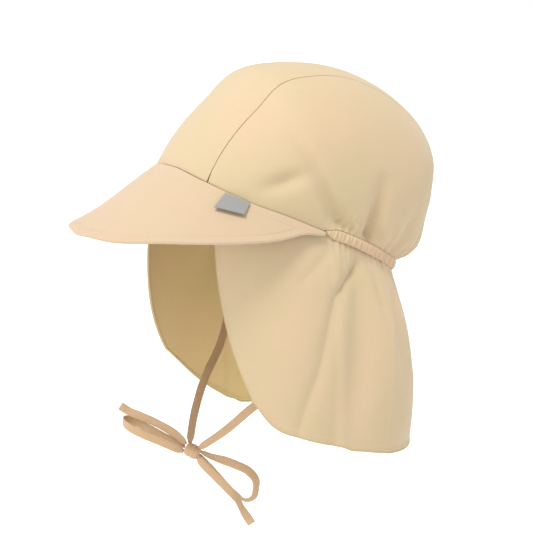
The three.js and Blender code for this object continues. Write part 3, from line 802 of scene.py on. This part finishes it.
tab_ribbon = cloth_material(
    "tab_ribbon", linear(135, 135, 133), linear(133, 133, 131), linear(139, 139, 135),
    pitch=0.3, weave=0.5, crumple=0.1
)
thread = thread_material("thread", linear(178, 146, 104))
edge_thread = thread_material("edge_thread", linear(190, 165, 112))


def place_piece(obj, material, slot, *nodes):
    obj.data.materials.append(material)
    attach(obj, "root")
    if nodes:
        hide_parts(*nodes)


CROWN_MIDDLE = np.array([0.0, 10.0, 20.0])

# Centre panel; the runs and widths here and below only space the columns and rows
CENTER_RUN = 330.0
CENTER_WIDTH = 80.0
over = (math.pi * edge_shares(220, CENTER_RUN))[:, None]
across = lerp(-1, 1, edge_shares(56, CENTER_WIDTH))[None, :]
side = across * (center_half_width(over) - SEAM_GAP / 2)
reach = crown_reach(over) * crown_share(np.abs(side), over)
center_grid = crown_point(side, reach * np.cos(over), reach * np.sin(over))
center_panel = cloth_object("crown_center", center_grid, CLOTH, center_grid - CROWN_MIDDLE)
place_piece(center_panel, crown_cotton, "crown_cotton", "crown_center_panel")

# Side panels; their columns stop just short of the corners and lie closer together near them
PANEL_RUN = 190.0
PANEL_HEIGHT = 110.0
PANEL_END = 0.99
PANEL_CLOSENESS = 0.6
for hand, label, node in ((1, "crown_left", "crown_left_panel"), (-1, "crown_right", "crown_right_panel")):
    along = edge_shares(250, PANEL_RUN)[None, :]
    height = edge_shares(100, PANEL_HEIGHT)[:, None]
    even = lerp(-PANEL_END, PANEL_END, along)
    back = lerp(even, np.sin(math.pi / 2 * even), PANEL_CLOSENESS)
    rise = height * np.sqrt(1 - back * back)
    over = np.arctan2(rise, -back + 0 * rise)
    seam_share = crown_share(center_half_width(over) + SEAM_GAP / 2, over)
    share = np.hypot(back, rise) * seam_share
    reach = crown_reach(over) * share
    grid = crown_point(hand * crown_side(share, over), reach * np.cos(over), reach * np.sin(over))
    panel = cloth_object(label, grid, CLOTH, grid - CROWN_MIDDLE)
    place_piece(panel, crown_cotton, "crown_cotton", node)

# Peak
PEAK_RUN = 300.0
PEAK_WIDTH = 60.0
PEAK_EDGE_RADIUS = 1.0
peak_end = CASING_START - SEAM_GAP / HEAD_HALF_WIDTH
around = lerp(-peak_end, peak_end, edge_shares(280, PEAK_RUN))[None, :]
out = edge_shares(60, PEAK_WIDTH)[:, None]
peak_grid = peak_point(around + 0 * out, out + 0 * around)
stitch_away = (edge_distance(peak_grid) - PEAK_STITCH_INSET) / STITCH_GROOVE_WIDTH
peak_thick = PEAK_THICKNESS - 2 * STITCH_GROOVE_DEPTH * np.exp(-stitch_away**2)
peak = cloth_object("peak_cloth", peak_grid, peak_thick, UPRIGHT, radius=PEAK_EDGE_RADIUS)
place_piece(peak, peak_cotton, "peak_cotton", "peak")

# A row of stitches inside the peak's free edge, where the peak is deep enough to hold it
PEAK_STITCH_ROOM = 2.2 * PEAK_STITCH_INSET
peak_top = grid_normals(peak_grid)
peak_top = peak_top * np.sign(peak_top[..., 2:3])
peak_run = run_length(peak_grid, 0)


def inside_edge(grid, run, column, inset):
    # The place on one column of a grid at a distance from its last row
    wanted = run[-1, column] - inset
    return np.array([np.interp(wanted, run[:, column], grid[:, column, k]) for k in range(3)])


wide = [c for c in range(peak_grid.shape[1]) if peak_run[-1, c] > PEAK_STITCH_ROOM]
stitch_places = np.array([inside_edge(peak_grid, peak_run, c, PEAK_STITCH_INSET) for c in wide])
stitch_normals = np.array([inside_edge(peak_top, peak_run, c, PEAK_STITCH_INSET) for c in wide])
stitch_lift = PEAK_THICKNESS / 2 - STITCH_GROOVE_DEPTH
peak_stitches = stitch_row("peak_stitches", stitch_places + stitch_normals * stitch_lift, stitch_normals)
place_piece(peak_stitches, thread, "peak_cotton")

# Elastic casing
casing_end = 2 * math.pi - CASING_START
turn = np.linspace(CASING_START, casing_end, 1700)[:, None]
angle = np.linspace(0, 2 * math.pi, 37)[:-1][None, :]
half = casing_half(np.minimum(turn, 2 * math.pi - turn))
ruck_phase = RUCK_RATE * (turn - CASING_START) + 1.3 * np.sin(9 * turn) + 0.8 * np.sin(23 * turn + 1)
ruck = 0.5 - 0.5 * np.cos(ruck_phase)
broad_ruck = 0.5 - 0.5 * np.cos(0.62 * ruck_phase + 2 * np.sin(5 * turn))
outer = np.abs(np.cos(angle)) ** 0.7 * np.sign(np.cos(angle))
upper = np.abs(np.sin(angle)) ** 0.85 * np.sign(np.sin(angle))
ruck_cut = (RUCK_DEPTH * ruck + BROAD_RUCK_DEPTH * broad_ruck) * (0.35 + 0.65 * np.abs(outer))
thick = CASING_THICKNESS / 2 * (1 + CASING_UNEVENNESS * np.sin(7 * turn)) - ruck_cut
tall = half - RUCK_DROP * ruck * np.abs(upper)
casing_sections = rim_point(turn + 0 * angle, -tall * upper, thick * outer)
casing = swept_object("casing_cloth", casing_sections)
place_piece(casing, gathered_cotton, "gathered_cotton", "elastic_casing")

# Neck flap, from the right front corner round the back to the left one
FLAP_DROP = 125.0
FLAP_RUN = 400.0
FLAP_EDGE_RADIUS = 0.6
HEM_STEP = 0.8
down = edge_shares(110, FLAP_DROP, radius=0.8)[:, None]
across = edge_shares(400, FLAP_RUN, radius=0.8)[None, :]
along = 1 - np.abs(2 * across - 1)
left_half = flap_point(1, along + 0 * down, down + 0 * along)
right_half = flap_point(-1, along + 0 * down, down + 0 * along)
flap_grid = np.where((across > 0.5)[..., None], left_half, right_half)
flap_middle = flap_grid.mean((0, 1))
flap_hem = 1 - smoothstep(edge_distance(flap_grid), FLAP_HEM, FLAP_HEM + HEM_STEP)
flap_thickness = CLOTH + HEM_EXTRA * flap_hem
flap_outward = flap_grid - flap_middle
flap = cloth_object("flap_cloth", flap_grid, flap_thickness, flap_outward, radius=FLAP_EDGE_RADIUS)
place_piece(flap, flap_cotton, "flap_cotton", "neck_flap")

# The flap's inner face, whose faces follow the outer ones; it takes a lighter, yellower cream than the
# outside, painted light standing in for the bounce light inside the cap
flap.data.materials.append(flap_inside_painted_light)
face_count = (flap_grid.shape[0] - 1) * (flap_grid.shape[1] - 1)
flap_faces = np.zeros(len(flap.data.polygons), np.int32)
flap_faces[face_count:2 * face_count] = 1
flap.data.polygons.foreach_set("material_index", flap_faces)

# Thread over the flap's free edges
flap_normals = grid_normals(flap_grid)
if np.sum(flap_normals * flap_outward) < 0:
    flap_normals = -flap_normals
inner = slice(3, -3)
edge_line = np.concatenate([flap_grid[inner, 0], flap_grid[-1, inner], flap_grid[inner, -1][::-1]])
edge_inward = np.concatenate([
    flap_grid[inner, 8] - flap_grid[inner, 0],
    flap_grid[-9, inner] - flap_grid[-1, inner],
    (flap_grid[inner, -9] - flap_grid[inner, -1])[::-1],
])
edge_normals = np.concatenate([
    flap_normals[inner, 3],
    flap_normals[-4, inner],
    flap_normals[inner, -4][::-1],
])
flap_overlock = overlock("flap_overlock", edge_line, edge_inward, edge_normals)
place_piece(flap_overlock, edge_thread, "flap_cotton")

# Stitches of the flap's hem, on both faces, leaving a few columns free at each end
HEM_FREE_COLUMNS = 14
flap_run = run_length(flap_grid, 0)
columns = range(HEM_FREE_COLUMNS, flap_grid.shape[1] - HEM_FREE_COLUMNS)
hem_places = np.array([inside_edge(flap_grid, flap_run, c, FLAP_HEM) for c in columns])
hem_normals = np.array([inside_edge(flap_normals, flap_run, c, FLAP_HEM) for c in columns])
for face, sign in (("outer", 1), ("inner", -1)):
    lifted = hem_places + sign * hem_normals * (CLOTH + HEM_EXTRA) / 2
    hem = stitch_row(f"flap_hem_{face}", lifted, sign * hem_normals, pitch=2.2, radius=0.14)
    place_piece(hem, thread, "flap_cotton")

# Tab
tab_turn = TAB_WIDTH / math.hypot(HEAD_HALF_WIDTH, HEAD_HALF_LENGTH) * math.sqrt(2)
tab_depth = float(PEAK_DEPTH * read_table(PEAK_OUTLINE, "turn", TAB_AROUND / CASING_START, "depth"))
tab_seam = SOLID_CLOTH / 2 + SEAM_GAP + SOLID_CLOTH / 2
down = edge_shares(24, TAB_LENGTH, radius=0.6)[:, None]
across = edge_shares(30, TAB_WIDTH, radius=0.4)[None, :]
around = TAB_AROUND + tab_turn * (across - 0.5) + 0 * down
out = (tab_seam + TAB_LENGTH * down) / tab_depth + 0 * across
step = 0.01
outward = peak_point(around, out + step) - peak_point(around, out)
sideways = peak_point(around + step, out) - peak_point(around, out)
normal = unit(np.cross(outward, sideways))
normal = normal * np.sign(normal[..., 2:3])
lift = PEAK_THICKNESS / 2 + SEAM_GAP + SOLID_CLOTH / 2 + TAB_CURL * down**2 + 0 * across
tab_grid = peak_point(around, out) + normal * lift[..., None]
tab = cloth_object("tab_ribbon", tab_grid, TAB_THICKNESS, normal, radius=TAB_THICKNESS / 2)
place_piece(tab, tab_ribbon, "tab_ribbon", "label_tab")


def smooth_route(points, rows, steps):
    # An even run of places on a smooth curve through the route's points, and the rows' values there
    points = np.asarray(points, float)
    knots = np.concatenate([[0], np.cumsum(np.linalg.norm(np.diff(points, axis=0), axis=-1) ** 0.5)])
    before = 2 * points[0] - points[1]
    after = 2 * points[-1] - points[-2]
    padded = np.concatenate([[before], points, [after]])
    gaps = np.linalg.norm(np.diff(padded, axis=0), axis=-1) ** 0.5
    times = np.concatenate([[-gaps[0]], knots, [knots[-1] + gaps[-1]]])
    fine = np.linspace(0, knots[-1], 1200)
    segment = np.clip(np.searchsorted(knots, fine, side="right") - 1, 0, len(points) - 2)
    t0, t1, t2, t3 = (times[segment + k][:, None] for k in range(4))
    p0, p1, p2, p3 = (padded[segment + k] for k in range(4))
    t = fine[:, None]
    a1 = (t1 - t) / (t1 - t0) * p0 + (t - t0) / (t1 - t0) * p1
    a2 = (t2 - t) / (t2 - t1) * p1 + (t - t1) / (t2 - t1) * p2
    a3 = (t3 - t) / (t3 - t2) * p2 + (t - t2) / (t3 - t2) * p3
    b1 = (t2 - t) / (t2 - t0) * a1 + (t - t0) / (t2 - t0) * a2
    b2 = (t3 - t) / (t3 - t1) * a2 + (t - t1) / (t3 - t1) * a3
    line = (t2 - t) / (t2 - t1) * b1 + (t - t1) / (t2 - t1) * b2
    run = np.concatenate([[0], np.cumsum(np.linalg.norm(np.diff(line, axis=0), axis=-1))])
    even = np.linspace(0, run[-1], steps)
    places = np.stack([np.interp(even, run, line[:, k]) for k in range(3)], -1)
    row = np.interp(even, run, np.interp(fine, knots, np.arange(len(points))))
    rolls = np.interp(row, np.arange(len(rows)), [r[0] for r in rows])
    wides = np.interp(row, np.arange(len(rows)), [r[1] for r in rows])
    return places, rolls, wides, run[-1]


def turn_about(vectors, axes, angles):
    c = np.cos(angles)[:, None]
    s = np.sin(angles)[:, None]
    along = np.sum(vectors * axes, -1, keepdims=True)
    return vectors * c + np.cross(axes, vectors) * s + axes * along * (1 - c)


def soft_wave(random, at, count, slowest, fastest):
    # A sum of waves with drawn heights, rates and starts
    total = 0
    for _ in range(count):
        height = random.uniform(0.4, 1)
        rate = random.uniform(slowest, fastest)
        start = random.uniform(0, 6)
        total = total + height * np.sin(at * rate + start)
    return total / count


def tape_object(name, points, rows, reference, steps, seed, from_start=True, free_end=False):
    # Folded tape: two soft edges, a stitched fold line and small creases
    places, rolls, wides, length = smooth_route(points, rows, steps)
    tangent = unit(np.gradient(places, axis=0))
    flat = unit(reference - tangent * np.sum(tangent * reference, -1, keepdims=True))
    flat = turn_about(flat, tangent, np.radians(rolls))
    face = np.cross(tangent, flat)
    at = np.linspace(0, length, steps)
    random = np.random.default_rng(seed)
    waves = soft_wave(random, at, 6, 0.3, 1.6)
    sway = soft_wave(random, at, 4, 0.15, 0.5)
    angle = np.linspace(0, 2 * math.pi, 33)[:-1]
    x = np.sign(np.cos(angle)) * np.abs(np.cos(angle)) ** 0.55
    y = np.sign(np.sin(angle)) * np.abs(np.sin(angle)) ** 0.75
    pinch = smoothstep(at, 0, PINCH_RUN) if from_start else np.ones(steps)
    if not free_end:
        pinch = pinch * smoothstep(length - at, 0, PINCH_RUN)
    wides = wides * lerp(PINCH_WIDTH, 1, pinch)
    width = TIE_WIDTH / 2 * wides * (1 + 0.04 * sway)
    thick = TIE_THICKNESS / 2 * (1 + 0.5 * (1 - wides))
    if free_end:
        left = length - at
        stitched = (left - TIE_HEM + TIE_HEM_STITCH_INSET) / TIE_HEM_STITCH_WIDTH
        thick = thick * (1 + TIE_HEM_EXTRA * smoothstep(-left, -TIE_HEM, -TIE_HEM + 0.5))
        thick = thick * (1 - TIE_HEM_STITCH_DEPTH * np.exp(-(stitched**2)))
    fold_line = FOLD_LINE_DEPTH * np.exp(-(((x - FOLD_LINE_AT) / 0.12) ** 2))
    hollow = HOLLOW_DEPTH * np.exp(-(((x - HOLLOW_AT) / 0.2) ** 2))
    groove = fold_line + hollow
    cupped = TAPE_CUP * sway[:, None] * (x**2)[None, :]
    rippled = TAPE_RIPPLE * waves[:, None] * np.cos(3 * x)[None, :]
    bow = cupped + rippled
    depth = thick[:, None] * y[None, :] * (1 - groove)[None, :] + bow * wides[:, None]
    sections = places[:, None] + flat[:, None] * (width[:, None] * x[None, :])[..., None]
    sections = sections + face[:, None] * depth[..., None]
    obj = swept_object(name, sections)
    return obj, places, length


def from_knot(rows):
    rows = np.asarray(rows, float)
    along, up, across = rows[:, :1], rows[:, 1:2], rows[:, 2:3]
    return KNOT_AT + along * BOW_ALONG + across * BOW_ACROSS + up * UPRIGHT


LEFT_END = (5, 2.6, -1.2, 40, 0.8)
RIGHT_END = (-2.2, 4.9, 2, 45, 0.85)
ties = []
for name, route, hand, end, node, seed in (
    ("tie_left", LEFT_STRAP, 1, LEFT_END, "tie_left_strap", 3),
    ("tie_right", RIGHT_STRAP, -1, RIGHT_END, "tie_right_strap", 4),
):
    start = flap_point(hand, np.array(TIE_ALONG_FLAP), np.array(TIE_DOWN_FLAP))
    start = start - hand * (SOLID_CLOTH / 2 + 2 * SEAM_GAP + TIE_THICKNESS / 2) * SIDEWAYS
    route = np.asarray(route, float)
    points = np.concatenate([[start], route[:, :3], from_knot([end])])
    rows = [(-hand * TIE_START_ROLL, 1.0)] + [(r[3], r[4]) for r in route] + [(end[3], end[4])]
    reference = unit(np.array([0.3 * hand, 1.0, 0.0]))
    tape = tape_object(name, points, rows, reference, 150, seed, from_start=False)
    ties.append((name, *tape, node, "knot"))
for name, route, reference, steps, node, seed, far in (
    ("loop_front", FRONT_LOOP, UPRIGHT, 140, "bow_front_loop", 5, "knot"),
    ("loop_back", BACK_LOOP, BOW_ACROSS, 140, "bow_back_loop", 6, "knot"),
    ("tail_front", FRONT_TAIL, UPRIGHT, 160, "bow_front_tail", 7, "bare"),
    ("tail_back", BACK_TAIL, BOW_ACROSS, 160, "bow_back_tail", 8, "bare"),
):
    rows = [(r[3], r[4]) for r in route]
    tape = tape_object(name, from_knot(route), rows, reference, steps, seed, free_end=far == "bare")
    ties.append((name, *tape, node, far))
for name, obj, places, length, node, far in ties:
    place_piece(obj, tie_cotton, "tie_tape", node)

# Knot: a band wrapped once over the strands, with a soft shoulder on each side
knot_turn = Matrix.Rotation(BOW_TURN, 3, "Z") @ Matrix.Rotation(-KNOT_LEAN, 3, "Y")
knot_axes = np.array(knot_turn)
KNOT_END = 0.985
KNOT_FLATNESS = 0.03
KNOT_SHOULDER = 0.35
KNOT_BAND_SUNK = 0.28
share = np.sin(math.pi / 2 * np.linspace(-KNOT_END, KNOT_END, 71))[:, None]
angle = np.linspace(0, 2 * math.pi, 73)[:-1][None, :]
radius = KNOT_SEEN_RADIUS * (1 - share**4) ** 0.25
radius = radius * (1 - KNOT_FLATNESS * (1 - np.cos(2 * angle + 0.6)))
band = np.exp(-(((share - 0.12) / 0.55) ** 8))
ridges = 0.16 * np.sin(9 * share + 1.2 * np.sin(angle))
creases = 0.12 * np.sin(21 * share + 2 * np.sin(2 * angle))
wrap = ridges + creases
radius = radius - KNOT_SHOULDER * (1 - band) * radius / KNOT_SEEN_RADIUS - band * (KNOT_BAND_SUNK - wrap)
knot_along = share * KNOT_SEEN_HALF + 0 * angle
knot_local = np.stack([knot_along, radius * np.cos(angle), radius * np.sin(angle)], -1)
knot = swept_object("knot_wrap", knot_local @ knot_axes.T + KNOT_AT)
place_piece(knot, tie_cotton, "tie_tape", "bow_knot")

# The two side panels, looked up by name
for label in ("crown_left", "crown_right"):
    panel = bpy.data.objects[label]

# Pale floor far below the cap, a little brighter away from it
FLOOR_AT = -0.5
FLOOR_REACH = 60.0
FLOOR_GLOW = 0.6
GLOW_FROM = 0.1
GLOW_TO = 0.6
bpy.ops.mesh.primitive_circle_add(
    vertices=96, radius=FLOOR_REACH, fill_type="NGON", location=(0, 0, FLOOR_AT)
)
floor = bpy.context.object
floor.name = "floor"
floor_material = bpy.data.materials.new("floor_white")
floor_material.use_nodes = True
floor_material.cycles.emission_sampling = "NONE"
floor_nodes = floor_material.node_tree.nodes
floor_links = floor_material.node_tree.links
floor_shader = floor_nodes["Principled BSDF"]
floor_shader.inputs["Base Color"].default_value = (0.75, 0.75, 0.75, 1)
floor_shader.inputs["Roughness"].default_value = 0.9
floor_shader.inputs["Specular IOR Level"].default_value = 0.1
floor_shader.inputs["Emission Color"].default_value = (1, 1, 1, 1)
floor_place = floor_nodes.new("ShaderNodeTexCoord")
floor_length = floor_nodes.new("ShaderNodeVectorMath")
floor_length.operation = "LENGTH"
floor_links.new(floor_place.outputs["Object"], floor_length.inputs[0])
floor_range = floor_nodes.new("ShaderNodeMapRange")
floor_range.interpolation_type = "SMOOTHSTEP"
floor_range.inputs["From Min"].default_value = GLOW_FROM
floor_range.inputs["From Max"].default_value = GLOW_TO
floor_range.inputs["To Min"].default_value = 0.0
floor_range.inputs["To Max"].default_value = FLOOR_GLOW
floor_links.new(floor_length.outputs["Value"], floor_range.inputs["Value"])
floor_links.new(floor_range.outputs[0], floor_shader.inputs["Emission Strength"])
floor.data.materials.append(floor_material)

# Soft studio light
world = bpy.data.worlds.new("studio")
bpy.context.scene.world = world
world.use_nodes = True
world.node_tree.nodes["Background"].inputs["Color"].default_value = (1, 1, 1, 1)
world.node_tree.nodes["Background"].inputs["Strength"].default_value = 1.0


def soft_light(name, direction, distance, size, power):
    data = bpy.data.lights.new(name, "AREA")
    data.shape = "DISK"
    data.size = size
    data.energy = power
    light = bpy.data.objects.new(name, data)
    bpy.context.scene.collection.objects.link(light)
    towards = Vector(direction).normalized()
    light.location = Vector(aim * MM) + towards * distance
    light.rotation_euler = towards.to_track_quat("Z", "Y").to_euler()


LIGHT_DISTANCE = 1.6
KEY_FROM = -0.2 * right - 0.62 * ahead + 0.9 * above
KEY_SIZE = 0.5
KEY_POWER = 18.5
FILL_FROM = -0.95 * right - 0.4 * ahead - 0.5 * above
FILL_SIZE = 0.9
FILL_POWER = 15
soft_light("key", KEY_FROM, LIGHT_DISTANCE, KEY_SIZE, KEY_POWER)
soft_light("fill", FILL_FROM, LIGHT_DISTANCE, FILL_SIZE, FILL_POWER)
bpy.context.scene.view_settings.view_transform = "Standard"
bpy.context.scene.view_settings.look = "None"
